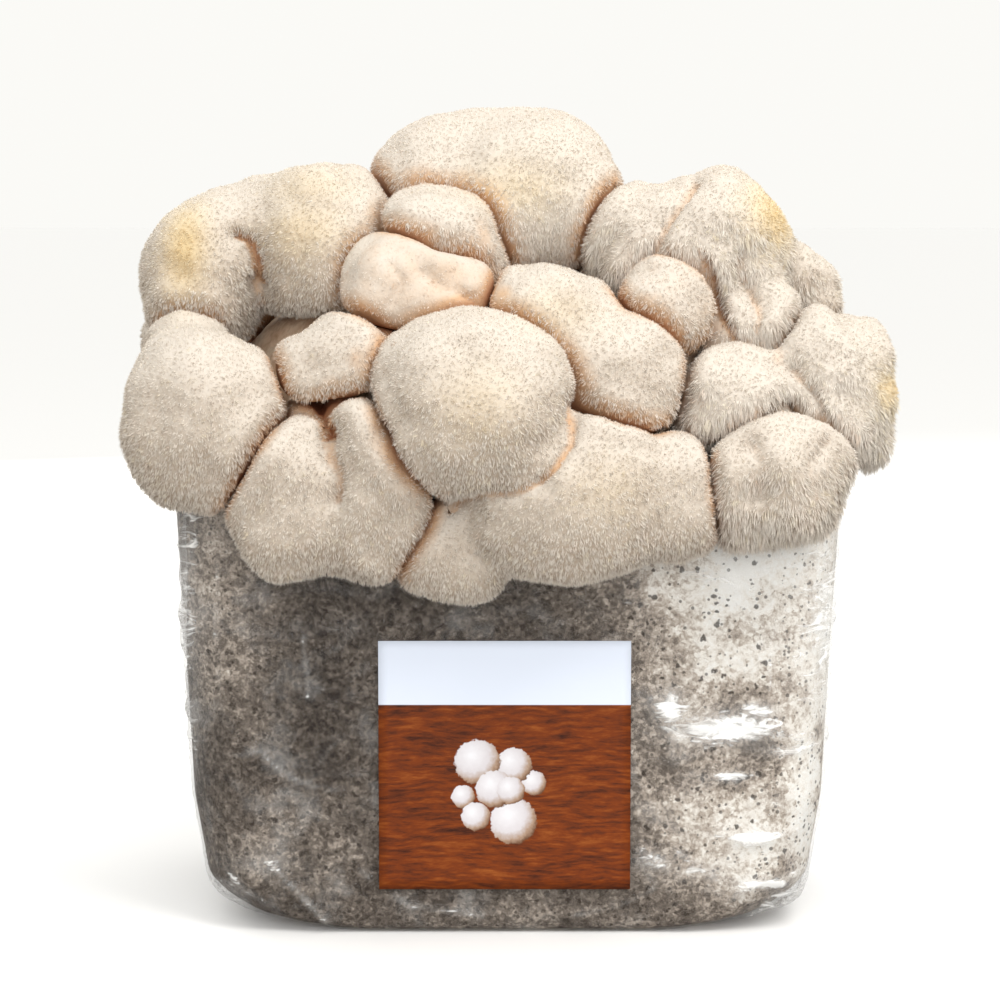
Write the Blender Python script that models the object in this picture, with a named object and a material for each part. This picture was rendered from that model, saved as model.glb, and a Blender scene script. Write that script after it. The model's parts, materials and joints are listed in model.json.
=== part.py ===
"""Lion's mane mushroom grow kit: a bagged sawdust block with a cluster of fruit bodies on top.

The object stands on the XY plane, with its front towards -Y. The origin is under the middle of
the block. A sawdust block sits in a close-fitting film bag, which is cut open above the block. A
square label is stuck to the front of the bag. The cluster grows from one fleshy base on top of the
block, and each head on it is an object of its own, made of one or more rounded lobes. Where two
heads press on each other, both are flattened, with a narrow crease left between them.
"""

import math

import bmesh
import bpy
from mathutils import Matrix, Vector, noise
from mathutils.bvhtree import BVHTree

MM = 0.001
QUARTER_TURN = math.pi / 2
SMOOTH_ANGLE = math.radians(50)

# The block and its bag.
BLOCK_HEIGHT = 140 * MM
FILM = 0.5 * MM
CLEARANCE = 0.3 * MM
RIM_HEIGHT = 147 * MM
RING_CORNER_STEPS = 4

# Height, half width, half depth and corner radius of the block's outline in mm, foot to top.
BLOCK_OUTLINE = (
    (0, 66, 58, 26),
    (3, 79, 61, 25),
    (9, 88, 62, 24),
    (15, 93, 62.5, 22),
    (40, 97, 62.5, 20),
    (90, 99.5, 62.5, 20),
    (128, 102, 62.5, 22),
    (136, 99, 60, 24),
    (140, 92, 54, 26),
)
SHOULDER = 6  # the row of BLOCK_OUTLINE from which the bag rises straight to its cut rim

# The label.
LABEL_SIDE = 76.2 * MM
LABEL_THICKNESS = 0.4 * MM
LABEL_MIDDLE_X = -1 * MM
LABEL_MIDDLE_HEIGHT = 52.5 * MM

# The fleshy base, a squared-off dome on the block's top: its half sizes, middle and squareness.
BASE_HALF = Vector((90, 53, 60)) * MM
BASE_MIDDLE_Y = -6 * MM
BASE_POWER = 3.0
BASE_FACETS = 6

# How the lobes are shaped.
FACET_SIZE = 6.5 * MM  # a lobe has about radius / FACET_SIZE facets to a quarter turn
MIN_FACETS, MAX_FACETS = 3, 4
CREASE = 0.35 * MM  # each of two touching lobes stays this far behind the wall between them
SQUEEZE_ROUNDING = 5 * MM
LUMPINESS = 0.07
LUMP_FREQUENCY = 1.6
LUMP_SEED_STEP = Vector((3.1, 5.7, 9.2))
REACH = 1.25  # lobes further apart than this times their radii can't touch
SQUARE_ON = 0.05  # a wall limits only the directions whose cosine to its normal is over this

# Colours.
FLESH = (0.86, 0.79, 0.68)
MYCELIUM = (0.52, 0.49, 0.45)
CLEAR_FILM = (0.9, 0.9, 0.9)
PRINTED_PAPER = (0.45, 0.16, 0.05)

# Each head's lobes in mm: the middle's x, y and z, the half sizes across, front to back and up,
# and the tilt in degrees about the front-to-back axis, clockwise as seen from the front.
HEADS = {
    "upper_left_head": (
        (-92, -34, 201, 20, 23, 26, 20),
        (-57, -34, 207, 23, 25, 29, 0),
        (-76, -26, 208, 19, 21, 24, 0),
    ),
    "left_head": (
        (-90, -74, 157, 24, 23, 29, 0),
        (-97, -58, 175, 13, 17, 14, 0),
    ),
    "left_bud": (
        (-51, -70, 174, 18, 16, 14, -20),
        (-40, -62, 177, 12, 13, 10, 0),
    ),
    "lower_left_head": (
        (-62, -80, 136, 19, 17, 30, 6),
        (-41, -80, 139, 18, 17, 35, 0),
        (-50, -66, 158, 17, 15, 14, 0),
    ),
    "centre_head": (
        (-10, -84, 162, 29, 25, 30, 0),
        (18, -82, 136, 34, 22, 27, 0),
        (46, -79, 135, 15, 17, 20, 0),
        (-15, -76, 119, 17, 14, 16, 0),
    ),
    "top_head": (
        (8, -24, 226, 28, 25, 25, 0),
        (-22, -22, 232, 18, 21, 17, 0),
        (-7, -18, 231, 17, 18, 18, 0),
    ),
    "crown_bud": (
        (-20, -50, 212, 19, 16, 13, 28),
        (-14, -42, 202, 13, 14, 12, 0),
    ),
    "smooth_bud": (
        (-34, -62, 197, 16, 16, 15, 0),
        (-17, -62, 195, 13, 13, 12, 0),
    ),
    "centre_right_head": (
        (13, -66, 187, 20, 19, 17, 25),
        (33, -70, 170, 20, 20, 20, 30),
    ),
    "upper_right_head": (
        (62, -38, 207, 24, 25, 27, 0),
        (39, -37, 209, 14, 19, 19, 8),
        (71, -48, 181, 19, 19, 17, 0),
    ),
    "tucked_bud": ((48, -60, 190, 12, 14, 18, -28),),
    "right_head": (
        (93, -54, 164, 22, 24, 29, 0),
        (68, -64, 164, 22, 18, 16, 0),
        (105, -46, 177, 11, 14, 11, 0),
        (106, -50, 153, 11, 14, 12, 0),
    ),
    "far_right_bud": (
        (90, -22, 195, 15, 16, 14, 25),
        (82, -18, 186, 14, 14, 13, 0),
    ),
    "lower_right_head": (
        (79, -76, 140, 24, 20, 20, 0),
        (74, -62, 156, 16, 14, 12, 0),
    ),
    "left_side_head": ((-95, -12, 166, 22, 26, 25, 0),),
    "right_side_head": (
        (97, -12, 158, 18, 25, 23, 0),
        (92, 2, 174, 18, 20, 16, 0),
    ),
    "crown_left_head": ((-50, 6, 203, 29, 26, 18, 0),),
    "crown_middle_head": ((0, 22, 206, 28, 25, 18, 0),),
    "crown_right_head": ((49, 8, 203, 29, 26, 17, 0),),
    "back_far_left_head": (
        (-92, 28, 163, 23, 25, 26, 0),
        (-88, 16, 182, 18, 20, 15, 0),
    ),
    "back_left_head": ((-62, 43, 184, 28, 24, 24, 0),),
    "back_middle_head": (
        (-10, 55, 184, 30, 22, 25, 0),
        (3, 75, 143, 24, 20, 22, 0),
        (1, 62, 161, 21, 16, 15, 0),
    ),
    "back_right_head": (
        (40, 47, 186, 28, 24, 24, 0),
        (60, 40, 184, 22, 22, 20, 0),
    ),
    "back_far_right_head": ((90, 30, 164, 25, 28, 28, 0),),
    "low_back_left_head": (
        (-50, 72, 146, 29, 20, 27, 0),
        (-50, 60, 166, 22, 15, 13, 0),
    ),
    "low_back_right_head": (
        (54, 72, 147, 28, 20, 27, 0),
        (54, 60, 166, 22, 15, 13, 0),
    ),
}


def clear_scene():
    for obj in list(bpy.data.objects):
        bpy.data.objects.remove(obj)


def material(name, colour, roughness, alpha=1.0):
    mat = bpy.data.materials.new(name)
    mat.use_nodes = True
    shader = mat.node_tree.nodes["Principled BSDF"]
    shader.inputs["Base Color"].default_value = (*colour, 1)
    shader.inputs["Roughness"].default_value = roughness
    shader.inputs["Alpha"].default_value = alpha
    return mat


def add_object(name, bm, mat, smooth_below=None):
    """Makes an object from a bmesh, smooth shaded up to an angle in radians if one is given."""
    bmesh.ops.recalc_face_normals(bm, faces=bm.faces)
    mesh = bpy.data.meshes.new(name)
    bm.to_mesh(mesh)
    bm.free()
    mesh.materials.append(mat)
    if smooth_below:
        mesh.shade_smooth()
        mesh.set_sharp_from_angle(angle=smooth_below)
    obj = bpy.data.objects.new(name, mesh)
    bpy.context.scene.collection.objects.link(obj)
    return obj


# ---------------------------------------------------------------- block, bag and label


def outline_ring(bm, height, half_width, half_depth, corner):
    """Vertices of one level outline: a rectangle with round corners."""
    ring = []
    for turn, (side_x, side_y) in enumerate(((1, -1), (1, 1), (-1, 1), (-1, -1))):
        centre = Vector((side_x * (half_width - corner), side_y * (half_depth - corner), height))
        for step in range(RING_CORNER_STEPS + 1):
            quarter = Matrix.Rotation(
                (turn - 1 + step / RING_CORNER_STEPS) * QUARTER_TURN, 3, "Z"
            )
            ring.append(bm.verts.new(centre + quarter @ Vector((corner, 0, 0))))
    return ring


def bridge(bm, lower, upper):
    for k, vert in enumerate(lower):
        after = (k + 1) % len(lower)
        bm.faces.new((vert, lower[after], upper[after], upper[k]))


def block_rows(offset=0.0):
    """The block's outline in metres, grown by offset."""
    return [
        (height * MM, half_width * MM + offset, half_depth * MM + offset, corner * MM + offset)
        for height, half_width, half_depth, corner in BLOCK_OUTLINE
    ]


def bag_rows(offset, floor):
    """The bag's outline at an offset from the block: up the block's sides, then to the rim."""
    rows = block_rows(offset)[: SHOULDER + 1]
    rows[0] = (floor, *rows[0][1:])
    _, half_width, half_depth, corner = rows[-1]
    return [*rows, (RIM_HEIGHT, half_width, half_depth, corner)]


def loft(bm, rows):
    """Bridged outlines, foot to top, returned as rings."""
    rings = [outline_ring(bm, *row) for row in rows]
    for lower, upper in zip(rings, rings[1:]):
        bridge(bm, lower, upper)
    return rings


def make_block():
    bm = bmesh.new()
    rows = block_rows()
    rows[0] = (FILM + CLEARANCE, *rows[0][1:])
    rings = loft(bm, rows)
    bm.faces.new(rings[0])
    bm.faces.new(rings[-1])
    substrate = material("substrate", MYCELIUM, roughness=0.85)
    add_object("substrate_block", bm, substrate, SMOOTH_ANGLE)


def make_bag():
    """One film wall with a floor, open at its cut rim."""
    bm = bmesh.new()
    outer = loft(bm, bag_rows(CLEARANCE + FILM, 0.0))
    inner = loft(bm, bag_rows(CLEARANCE, FILM))
    bridge(bm, outer[-1], inner[-1])
    bm.faces.new(outer[0])
    bm.faces.new(inner[0])
    film = material("film", CLEAR_FILM, roughness=0.15, alpha=0.35)
    add_object("grow_bag", bm, film, SMOOTH_ANGLE)


def bag_hull():
    """Search tree of the closed shape that the bag and the block fill."""
    bm = bmesh.new()
    rings = loft(bm, bag_rows(CLEARANCE + FILM, 0.0))
    bm.faces.new(rings[0])
    bm.faces.new(rings[-1])
    tree = BVHTree.FromBMesh(bm)
    bm.free()
    return tree


def make_label():
    front_of_bag = -(BLOCK_OUTLINE[SHOULDER][2] * MM + CLEARANCE + FILM)
    back = front_of_bag - CLEARANCE
    bm = bmesh.new()
    bmesh.ops.create_cube(bm, size=1)
    size = Vector((LABEL_SIDE, LABEL_THICKNESS, LABEL_SIDE))
    bmesh.ops.scale(bm, vec=size, verts=bm.verts)
    obj = add_object("front_label", bm, material("label", PRINTED_PAPER, roughness=0.45))
    obj.location = (LABEL_MIDDLE_X, back - LABEL_THICKNESS / 2, LABEL_MIDDLE_HEIGHT)
    return obj


# ---------------------------------------------------------------- base and heads


def facet_ball(bm, facets):
    """A cube whose faces are cut into facets by facets squares, pushed out to a unit ball."""
    bmesh.ops.create_cube(bm, size=2)
    bmesh.ops.subdivide_edges(bm, edges=bm.edges, cuts=facets - 1, use_grid_fill=True)
    for vert in bm.verts:
        vert.co.normalize()


def make_base():
    """The dome that the heads grow from, flat underneath. Returns its search tree."""
    bm = bmesh.new()
    facet_ball(bm, BASE_FACETS)
    for vert in bm.verts:
        size = sum(abs(part) ** BASE_POWER for part in vert.co) ** (1 / BASE_POWER)
        vert.co = vert.co / size * BASE_HALF
    below = [vert for vert in bm.verts if vert.co.z < -CLEARANCE]
    bmesh.ops.delete(bm, geom=below, context="VERTS")
    bmesh.ops.holes_fill(bm, edges=bm.edges)
    bmesh.ops.triangulate(bm, faces=bm.faces)
    foot = BLOCK_HEIGHT + CLEARANCE
    bmesh.ops.translate(bm, vec=(0, BASE_MIDDLE_Y, foot), verts=bm.verts)
    tree = BVHTree.FromBMesh(bm)
    add_object("cluster_base", bm, material("flesh", FLESH, roughness=0.7), SMOOTH_ANGLE)
    return tree


class Lobe:
    """One ball-like swelling: its middle, its half sizes and its tilt."""

    count = 0

    def __init__(self, x, y, z, across, deep, up, tilt):
        self.middle = Vector((x, y, z)) * MM
        self.half = Vector((across, deep, up)) * MM
        self.turn = Matrix.Rotation(math.radians(tilt), 3, "Y")
        self.facets = round((across + deep + up) / 3 * MM / FACET_SIZE)
        self.facets = min(max(self.facets, MIN_FACETS), MAX_FACETS)
        Lobe.count += 1
        self.seed = LUMP_SEED_STEP * Lobe.count
        self.walls = []

    def radius(self, direction):
        """How far the lobe reaches along a unit direction, if nothing presses on it."""
        local = self.turn.transposed() @ direction
        scaled = Vector(a / b for a, b in zip(local, self.half))
        return 1 / scaled.length

    def add_wall(self, normal, distance):
        self.walls.append((normal, distance - CREASE))

    def reach(self, direction):
        """The lobe's radius with its lumps, pressed in smoothly by its walls."""
        lump = noise.noise(direction * LUMP_FREQUENCY + self.seed)
        found = self.radius(direction) * (1 + LUMPINESS * lump)
        for normal, distance in self.walls:
            towards = normal.dot(direction)
            if towards > SQUARE_ON:
                found = smooth_min(found, distance / towards, SQUEEZE_ROUNDING)
        return found

    def as_bmesh(self):
        bm = bmesh.new()
        facet_ball(bm, self.facets)
        for vert in bm.verts:
            direction = vert.co.normalized()
            vert.co = self.middle + direction * self.reach(direction)
        bmesh.ops.triangulate(bm, faces=bm.faces)
        return bm


def smooth_min(a, b, rounding):
    """The smaller of two numbers, or a little less where they are nearly equal."""
    near = max(rounding - abs(a - b), 0) / rounding
    return min(a, b) - near * near * rounding / 4


def part_lobes(one, other):
    """Puts a wall between two lobes of different heads, nearer to the smaller one."""
    between = other.middle - one.middle
    gap = between.length
    normal = between.normalized()
    near, far = one.radius(normal), other.radius(-normal)
    if gap > REACH * (max(one.half) + max(other.half)):
        return
    share = near / (near + far)
    one.add_wall(normal, gap * share)
    other.add_wall(-normal, gap * (1 - share))


def keep_off(lobe, tree):
    """Walls a lobe off from a convex shape, square to the nearest point on it."""
    nearest, _, _, distance = tree.find_nearest(lobe.middle)
    lobe.add_wall((nearest - lobe.middle).normalized(), distance)


def wall_off(heads, trees):
    names = list(heads)
    for k, name in enumerate(names):
        for lobe in heads[name]:
            for tree in trees:
                keep_off(lobe, tree)
            for other_name in names[k + 1 :]:
                for other in heads[other_name]:
                    part_lobes(lobe, other)


def make_head(name, lobes, mat):
    """Joins a head's lobes into one solid. All lobes but the first are cutters."""
    head = add_object(name, lobes[0].as_bmesh(), mat, SMOOTH_ANGLE)
    for number, lobe in enumerate(lobes[1:], 2):
        cutter = add_object(f"{name}.lobe{number}", lobe.as_bmesh(), mat, SMOOTH_ANGLE)
        cutter.hide_render = True
        cutter.display_type = "WIRE"
        union = head.modifiers.new(f"join lobe {number}", "BOOLEAN")
        union.operation = "UNION"
        union.object = cutter


def main():
    clear_scene()
    make_block()
    make_bag()
    make_label()
    base_tree = make_base()
    heads = {name: [Lobe(*row) for row in rows] for name, rows in HEADS.items()}
    wall_off(heads, (bag_hull(), base_tree))
    flesh = material("fruit body", FLESH, roughness=0.8)
    for name, lobes in heads.items():
        make_head(name, lobes, flesh)


main()
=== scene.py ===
"""Looks of the lion's mane grow kit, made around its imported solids.

Each head of the cluster is a fine skin grown from its solid, with a coat of short spines. The bag
is a thin wrinkled film around the block, and both follow the bag's solid. The label is a thin
printed sheet. Lengths are in metres, or in mm times MM.
"""

import json
import math
from functools import partialmethod

import bmesh
import bpy
import numpy as np
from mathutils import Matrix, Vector, noise
from mathutils.bvhtree import BVHTree
from mathutils.kdtree import KDTree


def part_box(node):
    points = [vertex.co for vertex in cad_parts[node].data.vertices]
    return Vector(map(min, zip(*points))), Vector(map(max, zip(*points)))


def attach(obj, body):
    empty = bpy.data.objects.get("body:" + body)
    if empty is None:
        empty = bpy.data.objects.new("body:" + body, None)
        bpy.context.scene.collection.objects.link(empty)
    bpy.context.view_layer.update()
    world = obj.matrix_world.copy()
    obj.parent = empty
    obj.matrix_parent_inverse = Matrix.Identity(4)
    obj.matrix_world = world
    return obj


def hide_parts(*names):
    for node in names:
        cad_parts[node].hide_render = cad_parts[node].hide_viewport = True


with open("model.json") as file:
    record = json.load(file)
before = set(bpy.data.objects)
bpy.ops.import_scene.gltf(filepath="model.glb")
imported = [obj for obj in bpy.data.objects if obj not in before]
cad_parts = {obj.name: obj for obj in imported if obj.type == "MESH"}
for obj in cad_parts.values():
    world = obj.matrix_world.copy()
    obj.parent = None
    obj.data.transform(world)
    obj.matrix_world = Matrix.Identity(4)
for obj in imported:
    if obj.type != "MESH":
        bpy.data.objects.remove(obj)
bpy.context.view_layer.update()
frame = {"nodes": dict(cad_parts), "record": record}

MM = 0.001
RNG = np.random.default_rng(7)

ROWS = frame["record"]["subparts"]
HEADS = sorted(row["node"] for row in ROWS if row["material_slot"] == "fruit_body")


# ---- the heads' numbers


# The quads' size, and their size at the crown and behind.
VOXEL = 1.35 * MM
HIDDEN_VOXEL = 1.9 * MM
BEHIND = ("crown_left", "crown_middle", "crown_right", "back_", "low_back_")

# Rounds of smoothing the skin, and then its growth back to its solid.
ROUNDS = (60, 9)
SMOOTHER_ROUNDS = (180, 70)
# A round's step on a seam, and what is added away from it.
STEP_ON_SEAM = 0.05
STEP_BESIDE = 0.50
# The bend that makes a seam, its points' spacing, and how far it holds the skin.
SEAM_ANGLE = math.radians(14)
SEAM_STEP = 0.7 * MM
SEAM_HOLD = 5 * MM

# A skin swells into part of the gap to its neighbours, and of its room at most.
NEIGHBOUR_REACH = 15 * MM
CLOSE_TO_APART = (7 * MM, 14 * MM)
GROWTH_PER_GAP = 0.37
LARGEST_GROWTH = 3.6 * MM
LARGEST_SHARE = 0.46
ROOM_AT_BAG = 0.3 * MM
GROWTH_ROUNDS = 3

# A seam's narrow groove and the valley around it.
GROOVE_WIDTH = 1.5 * MM
GROOVE_DEPTH = 1.5 * MM
VALLEY_WIDTH = 4.5 * MM
VALLEY_DEPTH = 0.8 * MM
# Depth counts less in distances from a fold, so that it follows the curve of its head.
FLATTEN = np.array((1, 0.08, 1))
# Spines begin this near to a fold.
FOLD_EDGE = 0.9 * MM

# How far a crease's tan and painted shade reach, and the strength of each tint.
RIM_REACH = 2.6 * MM
WIDE_RIM_REACH = 3.6 * MM
SHAGGY_TINT = 0.45
GROOVE_TINT = 0.5
FOLD_TINT = 1.3
BARE_TINT = 0.45

# A point is in view if a ray from just above it goes this far.
SIGHT = 90 * MM
ABOVE = 0.4 * MM

# Heads with no creases but their folds.
WITHOUT_CREASES = {
    "centre_right_head", "left_head", "smooth_bud", "top_head", "tucked_bud",
    "upper_left_head", "upper_right_head",
}
# Heads with longer, whiter spines that hide their creases.
SHAGGY = {"upper_right_head", "right_head", "far_right_bud", "lower_right_head", "right_side_head"}
# Heads with a wide tan rim, with painted shade, along their creases.
TAN_RIMMED = {"centre_right_head", "tucked_bud", "smooth_bud", "left_bud", "crown_bud", "top_head"}
# The bud with the shortest spines.
SHORN = "smooth_bud"
# How strong the painted shade on an underside is, where that isn't 1.
UNDERSIDE_SHADE_STRENGTH = {"top_head": 0.1, "crown_bud": 0.5, "smooth_bud": 0.3}
UNDERSIDE_SHADE_STRENGTH |= {"upper_right_head": 0.3, "right_head": 0.2}

# Lumps are a size in mm, a shift of the noise, and a height in mm.
LUMPS = ((17, 0, 1.7), (7, 31, 0.9), (3.4, 57, 0.35))
SHAGGY_LUMPS = ((17, 0, 1.9), (7, 31, 1.5), (3.4, 57, 0.6))
SHORN_LUMPS = ((17, 0, 1.4), (7, 31, 1.3))

# Folds are a depth, a half width, how brown with painted shade they are, and points, all in mm.
FOLDS = {
    "upper_left_head": (
        (4.5, 1.3, 0.55, (-81, -50, 213), (-78, -50, 211), (-76, -51, 206), (-75, -52, 195)),
        (4.2, 1.4, 0.3, (-76, -52, 197), (-75, -52, 187), (-73, -52, 178)),
    ),
    "lower_left_head": (
        (4.5, 1.6, 0.7, (-56, -80, 166), (-54, -88, 160), (-53, -89, 156)),
        (3.8, 1.6, 0.25, (-53, -89, 157), (-52, -92, 150), (-49, -95, 143), (-50, -95, 136)),
    ),
    "centre_head": (
        (2.6, 1.2, 0.35, (19, -92, 164), (18, -98, 154), (14, -101, 148), (9, -102, 143)),
        (2.0, 1.2, 0.28, (9, -102, 143), (2, -100, 139), (-8, -96, 137), (-17, -86, 133)),
    ),
    "upper_right_head": (
        (3.0, 1.5, 0.25, (56, -46, 229), (51, -50, 222), (46, -54, 215), (43, -60, 205)),
        (3.5, 1.6, 0.6, (57, -60, 207), (60, -64, 199), (61, -64, 191), (67, -66, 181)),
        (2.5, 1.5, 0.2, (71, -60, 208), (70, -64, 201), (75, -66, 192), (74, -66, 184)),
    ),
    "smooth_bud": (
        (2.2, 1.3, 0.2, (-25, -75, 202), (-20, -76, 198), (-16, -76, 197), (-11, -76, 194)),
        (1.8, 1.2, 0.18, (-34, -74, 204), (-31, -76, 199), (-34, -74, 192)),
    ),
    "right_head": (
        (3.0, 1.8, 0.2, (84, -70, 174), (90, -74, 166), (93, -74, 157), (99, -74, 150)),
    ),
    "lower_right_head": (
        (1.8, 2.6, 0.1, (70, -86, 153), (74, -92, 146), (72, -92, 138)),
        (1.8, 2.4, 0.1, (94, -86, 154), (88, -92, 147), (89, -92, 140)),
    ),
}
# Knobs, and dents of negative height, are a middle, a half size and a height in mm.
KNOBS = {
    "smooth_bud": (((-20, -74, 204), 5, 2.2), ((-11, -76, 199), 4, 2.0), ((-36, -72, 199), 6, 1.5)),
    "right_head": (((112, -58, 178), 6, 3.0), ((114, -60, 163), 6, 3.0), ((111, -62, 149), 6, 2.5)),
    "lower_right_head": (((100, -84, 134), 7, -4.0), ((78, -94, 148), 7, 2.0)),
    "upper_left_head": (((-78, -40, 232), 12, 2.5), ((-62, -56, 208), 13, 1.6)),
    "top_head": (((-10, -22, 244), 12, 4.0), ((-9, -40, 236), 10, 2.0)),
    "centre_head": (
        ((-32, -88, 174), 12, 2.4), ((-8, -104, 178), 12, -2.0), ((10, -94, 182), 10, 1.8),
        ((-30, -96, 150), 11, -1.8), ((2, -108, 156), 10, 1.5),
    ),
}

# Soft round patches are a middle, half sizes and a strength, in mm. These are yellow stains.
STAINS = (
    ((-97, -52, 208), (7, 16, 15), 0.75), ((-60, -50, 226), (13, 16, 9), 0.25),
    ((80, -46, 218), (10, 16, 10), 0.75), ((112, -56, 166), (6, 14, 7), 0.9),
    ((-62, -60, 214), (14, 14, 10), 0.35), ((2, -46, 226), (16, 14, 9), 0.3),
    ((-8, -108, 165), (12, 14, 12), 0.2), ((30, -104, 140), (14, 12, 10), 0.15),
    ((14, -84, 190), (12, 12, 8), 0.2), ((60, 70, 160), (14, 14, 10), 0.6),
    ((-60, 80, 150), (14, 14, 10), 0.5),
)
# Bare tan flesh.
BARE = {
    "top_head": (
        ((-12, -62, 217), (7, 14, 7), 0.9), ((-4, -64, 208), (8, 14, 5), 0.9),
        ((10, -62, 201), (10, 14, 4), 0.9), ((24, -60, 198), (10, 12, 4), 0.8),
    ),
    "crown_bud": (((-7, -60, 212), (4, 12, 8), 0.6),),
    "centre_right_head": (
        ((-2, -76, 195), (5, 9, 4), 0.9), ((5, -84, 188), (5, 7, 3), 0.7),
        ((13, -86, 178), (5, 7, 3), 0.6), ((20, -88, 169), (5, 7, 3), 0.6),
        ((28, -90, 159), (6, 7, 3), 0.6), ((40, -90, 154), (6, 7, 3), 0.5),
    ),
    "tucked_bud": (((50, -66, 196), (30, 30, 30), 0.3),),
    "upper_right_head": (((42, -58, 204), (4, 12, 4), 0.7), ((61, -64, 190), (2.5, 9, 6), 0.7)),
    "right_head": (((80, -64, 175), (3, 9, 5), 0.9),),
    "left_bud": (((-44, -78, 176), (4, 12, 7), 0.8), ((-56, -78, 165), (7, 9, 2.5), 0.8)),
    "smooth_bud": (
        ((-43, -72, 192), (5, 9, 9), 0.6), ((-8, -74, 190), (6, 9, 4), 0.6),
        ((-26, -74, 184), (14, 9, 3), 0.5), ((-26, -74, 196), (34, 30, 26), 0.5),
    ),
}


# ---- arrays and meshes


def as_array(rows, key, width, kind=int):
    values = np.empty(len(rows) * width, dtype=kind)
    rows.foreach_get(key, values)
    return values.reshape(-1, width)


def new_piece(name, points, faces, mat, slot, *nodes, **attributes):
    """A piece in place of these nodes. All its faces have the same number of corners."""
    mesh = bpy.data.meshes.new(name)
    mesh.vertices.add(len(points))
    mesh.vertices.foreach_set("co", points.ravel())
    mesh.loops.add(faces.size)
    mesh.loops.foreach_set("vertex_index", faces.ravel())
    mesh.polygons.add(len(faces))
    mesh.polygons.foreach_set("loop_start", np.arange(0, faces.size, faces.shape[1]))
    mesh.polygons.foreach_set("use_smooth", np.full(len(faces), True))
    mesh.update(calc_edges=True)
    mesh.materials.append(mat)
    for key, values in attributes.items():
        layer = mesh.attributes.new(key, "FLOAT", "POINT")
        layer.data.foreach_set("value", values.astype(np.float32))
    piece = bpy.data.objects.new(name, mesh)
    bpy.context.scene.collection.objects.link(piece)
    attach(piece, "root")
    if nodes:
        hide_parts(*nodes)
    return piece


def neighbour_mean(values, edges):
    """The mean of each point's neighbours."""
    a, b = edges.T
    size = len(values)
    count = np.bincount(edges.ravel(), minlength=size)
    columns = [
        np.bincount(a, column[b], size) + np.bincount(b, column[a], size) for column in values.T
    ]
    return np.stack(columns, axis=1) / count[:, None]


def unit(vectors):
    lengths = np.linalg.norm(vectors, axis=-1, keepdims=True)
    return vectors / np.maximum(lengths, 1e-12)


def point_normals(points, quads):
    a, b, c, d = (points[quads[:, corner]] for corner in range(4))
    across = np.cross(c - a, d - b)
    columns = [
        sum(np.bincount(quads[:, corner], column, len(points)) for corner in range(4))
        for column in across.T
    ]
    return unit(np.stack(columns, axis=1))


def smoothstep(low, high, values):
    share = np.clip((values - low) / (high - low), 0, 1)
    return share * share * (3 - 2 * share)


def bell(values):
    """1 at zero, 0.37 at 1 and next to nothing from 2."""
    return np.exp(-(values**2))


def noise_at(points, scale, seed):
    """Noise from about -1 to 1, with lumps of about the scale's size."""
    shift = Vector((seed * 3.7, seed * 1.3, seed * 5.1))
    return np.array([noise.noise(Vector(point) / scale + shift) for point in points])


def patches(points, rows):
    """The strongest of several patches at each point."""
    found = np.zeros(len(points))
    for middle, half, strength in rows:
        away = np.linalg.norm((points / MM - np.array(middle)) / np.array(half), axis=1)
        found = np.maximum(found, strength * bell(away))
    return found


def path_distance(points, path):
    """Each point's distance from a path of straight pieces."""
    nearest = np.full(len(points), np.inf)
    for start, end in zip(path, path[1:]):
        along = end - start
        share = np.clip((points - start) @ along / (along @ along), 0, 1)
        away = np.linalg.norm(points - start - share[:, None] * along, axis=1)
        nearest = np.minimum(nearest, away)
    return nearest


def solid_tree(node):
    mesh = frame["nodes"][node].data
    return BVHTree.FromPolygons(
        [vert.co for vert in mesh.vertices], [face.vertices for face in mesh.polygons]
    )


# ---- heads


def seam_tree(mesh):
    """Points along the inward folds of a solid, where its lobes meet."""
    bm = bmesh.new()
    bm.from_mesh(mesh)
    found = []
    for edge in bm.edges:
        if len(edge.link_faces) != 2:
            continue
        one, other = edge.link_faces
        if one.normal.angle(other.normal, 0) < SEAM_ANGLE:
            continue
        if one.normal.dot(other.calc_center_median() - one.calc_center_median()) <= 0:
            continue
        start, end = (vert.co.copy() for vert in edge.verts)
        steps = max(1, math.ceil((end - start).length / SEAM_STEP))
        found += [start.lerp(end, k / steps) for k in range(steps + 1)]
    bm.free()
    far_away = Vector((0, 0, -10))
    return point_tree(found or [far_away])


def point_tree(points):
    tree = KDTree(len(points))
    for k, point in enumerate(points):
        tree.insert(point, k)
    tree.balance()
    return tree


def remeshed(node, voxel):
    """A solid's points, quads and edges, with its surface cut into small even quads."""
    draft = bpy.data.objects.new("draft", frame["nodes"][node].data.copy())
    bpy.context.scene.collection.objects.link(draft)
    remesh = draft.modifiers.new("remesh", "REMESH")
    remesh.mode = "VOXEL"
    remesh.voxel_size = voxel
    evaluated = draft.evaluated_get(bpy.context.evaluated_depsgraph_get())
    mesh = evaluated.to_mesh()
    points = as_array(mesh.vertices, "co", 3, float)
    quads = as_array(mesh.loops, "vertex_index", 1).reshape(-1, 4)
    edges = as_array(mesh.edges, "vertices", 2)
    evaluated.to_mesh_clear()
    bpy.data.objects.remove(draft)
    return points, quads, edges


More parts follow.
